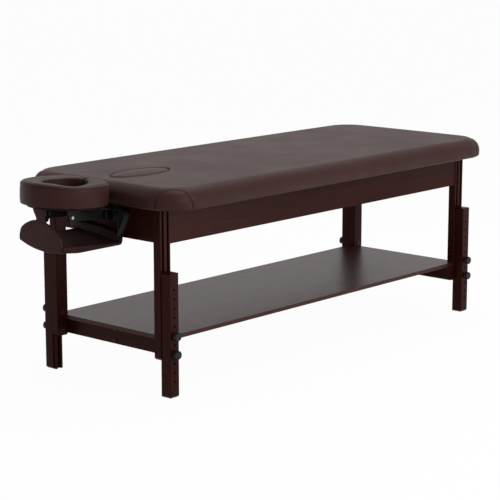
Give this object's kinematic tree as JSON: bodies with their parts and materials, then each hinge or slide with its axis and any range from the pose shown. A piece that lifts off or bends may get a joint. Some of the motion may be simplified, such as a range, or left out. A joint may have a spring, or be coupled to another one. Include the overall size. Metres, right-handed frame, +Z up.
{
  "type": "massage table",
  "caption": "Stationary massage table with padded top, face opening plug, height-adjustable wooden legs, low shelf, tilting headrest and armrest sling.",
  "frame": {"origin": "middle of the bounding box, on the floor", "axes": "+Z up, X along the table with the headrest at -X, Y across it"},
  "size_m": [2.1354, 0.76, 0.7484],
  "materials": {
    "vinyl": "matt artificial leather, fine grain",
    "sling_vinyl": "matt artificial leather",
    "plywood": "bare plywood",
    "raw_wood": "planed hardwood",
    "dowel": "fluted beech",
    "zinc_steel": "bright zinc plate",
    "yellow_zinc": "yellow zinc plate",
    "black_plastic": "matt",
    "black_nylon": "matt",
    "black_steel": "black powder coat",
    "webbing": "woven",
    "stained_wood": "dark mahogany stain, satin varnish"
  },
  "bodies": {
    "table": {"top_pad": "vinyl", "deck_board": "plywood", "deck_slats": "raw_wood", "cleat_left": "raw_wood", "cleat_right": "raw_wood", "side_apron_left": "stained_wood", "side_apron_right": "stained_wood", "end_apron_head": "stained_wood", "end_apron_foot": "stained_wood", "corner_blocks": "raw_wood", "corner_bolts": "zinc_steel", "apron_dowels": "dowel", "deck_screws": "yellow_zinc", "cleat_screws": "yellow_zinc", "inner_leg_head_left": "stained_wood", "inner_leg_head_right": "stained_wood", "inner_leg_foot_left": "stained_wood", "inner_leg_foot_right": "stained_wood", "tee_nuts": "yellow_zinc", "shelf_board": "stained_wood", "shelf_rail_head": "stained_wood", "shelf_rail_foot": "stained_wood", "shelf_stretcher": "stained_wood", "stretcher_bolts": "zinc_steel", "barrel_nuts": "yellow_zinc", "rail_screws": "yellow_zinc", "shelf_dowels": "dowel", "guide_block_left": "raw_wood", "guide_block_right": "raw_wood", "post_bushes": "black_nylon"},
    "plug": {"face_plug": "vinyl"},
    "cradle_base": {"post_left": "black_steel", "post_right": "black_steel", "cradle_bridge": "black_steel", "sling_straps": "webbing"},
    "cradle_knob": {"cradle_knob": "black_plastic"},
    "arms": {"arm_left": "black_steel", "arm_right": "black_steel", "tilt_pivots": "zinc_steel", "cradle_nut": "zinc_steel"},
    "platform": {"bracket_left": "black_steel", "bracket_right": "black_steel", "platform_board": "plywood", "platform_screws": "yellow_zinc", "headrest_cushion": "vinyl", "sling_front": "sling_vinyl"},
    "tray": {"sling_tray": "sling_vinyl", "sling_board": "plywood"},
    "leg_head_left": {"outer_leg_head_left": "stained_wood"},
    "leg_head_right": {"outer_leg_head_right": "stained_wood"},
    "leg_foot_left": {"outer_leg_foot_left": "stained_wood"},
    "leg_foot_right": {"outer_leg_foot_right": "stained_wood"},
    "knob_low_head_left": {"low_knob_head_left": "black_plastic"},
    "knob_high_head_left": {"high_knob_head_left": "black_plastic"},
    "knob_low_head_right": {"low_knob_head_right": "black_plastic"},
    "knob_high_head_right": {"high_knob_head_right": "black_plastic"},
    "knob_low_foot_left": {"low_knob_foot_left": "black_plastic"},
    "knob_high_foot_left": {"high_knob_foot_left": "black_plastic"},
    "knob_low_foot_right": {"low_knob_foot_right": "black_plastic"},
    "knob_high_foot_right": {"high_knob_foot_right": "black_plastic"}
  },
  "joints": [
    {"name": "leg_height_head_left", "type": "slide", "parent": "table", "child": "leg_head_left", "axis": [0, 0, 1], "range_m": [-0.096, 0.096]},
    {"name": "leg_height_head_right", "type": "slide", "parent": "table", "child": "leg_head_right", "axis": [0, 0, 1], "range_m": [-0.096, 0.096]},
    {"name": "leg_height_foot_left", "type": "slide", "parent": "table", "child": "leg_foot_left", "axis": [0, 0, 1], "range_m": [-0.096, 0.096]},
    {"name": "leg_height_foot_right", "type": "slide", "parent": "table", "child": "leg_foot_right", "axis": [0, 0, 1], "range_m": [-0.096, 0.096]},
    {"name": "low_knob_turn_head_left", "type": "hinge", "parent": "table", "child": "knob_low_head_left", "pos_m": [-0.71728, -0.325, 0.153], "axis": [0, -1, 0], "continuous": true},
    {"name": "high_knob_turn_head_left", "type": "hinge", "parent": "table", "child": "knob_high_head_left", "pos_m": [-0.71728, -0.325, 0.217], "axis": [0, -1, 0], "continuous": true},
    {"name": "low_knob_turn_head_right", "type": "hinge", "parent": "table", "child": "knob_low_head_right", "pos_m": [-0.71728, 0.325, 0.153], "axis": [0, 1, 0], "continuous": true},
    {"name": "high_knob_turn_head_right", "type": "hinge", "parent": "table", "child": "knob_high_head_right", "pos_m": [-0.71728, 0.325, 0.217], "axis": [0, 1, 0], "continuous": true},
    {"name": "low_knob_turn_foot_left", "type": "hinge", "parent": "table", "child": "knob_low_foot_left", "pos_m": [1.00272, -0.325, 0.153], "axis": [0, -1, 0], "continuous": true},
    {"name": "high_knob_turn_foot_left", "type": "hinge", "parent": "table", "child": "knob_high_foot_left", "pos_m": [1.00272, -0.325, 0.217], "axis": [0, -1, 0], "continuous": true},
    {"name": "low_knob_turn_foot_right", "type": "hinge", "parent": "table", "child": "knob_low_foot_right", "pos_m": [1.00272, 0.325, 0.153], "axis": [0, 1, 0], "continuous": true},
    {"name": "high_knob_turn_foot_right", "type": "hinge", "parent": "table", "child": "knob_high_foot_right", "pos_m": [1.00272, 0.325, 0.217], "axis": [0, 1, 0], "continuous": true},
    {"name": "plug_lift", "type": "slide", "parent": "table", "child": "plug", "axis": [0, 0, 1], "range_m": [0, 0.12]},
    {"name": "headrest_draw_out", "type": "slide", "parent": "table", "child": "cradle_base", "axis": [-1, 0, 0], "range_m": [0, 0.12]},
    {"name": "arm_raise", "type": "hinge", "parent": "cradle_base", "child": "arms", "pos_m": [-0.78228, 0, 0.612], "axis": [0, 1, 0], "range_deg": [-20, 8]},
    {"name": "platform_tilt", "type": "hinge", "parent": "arms", "child": "platform", "pos_m": [-0.94228, 0, 0.624], "axis": [0, 1, 0], "range_deg": [-20, 9], "deforming": ["sling_front"]},
    {"name": "cradle_knob_turn", "type": "hinge", "parent": "cradle_base", "child": "cradle_knob", "pos_m": [-0.78228, -0.07, 0.612], "axis": [0, -1, 0], "continuous": true},
    {"name": "tray_swing", "type": "hinge", "parent": "cradle_base", "child": "tray", "pos_m": [-0.74728, 0, 0.536], "axis": [0, 1, 0], "range_deg": [-17.6, 7.04], "deforming": ["sling_straps"]}
  ],
  "couplings": [
    {"joint": "tray_swing", "follows": "arm_raise", "ratio": 0.88}
  ]
}
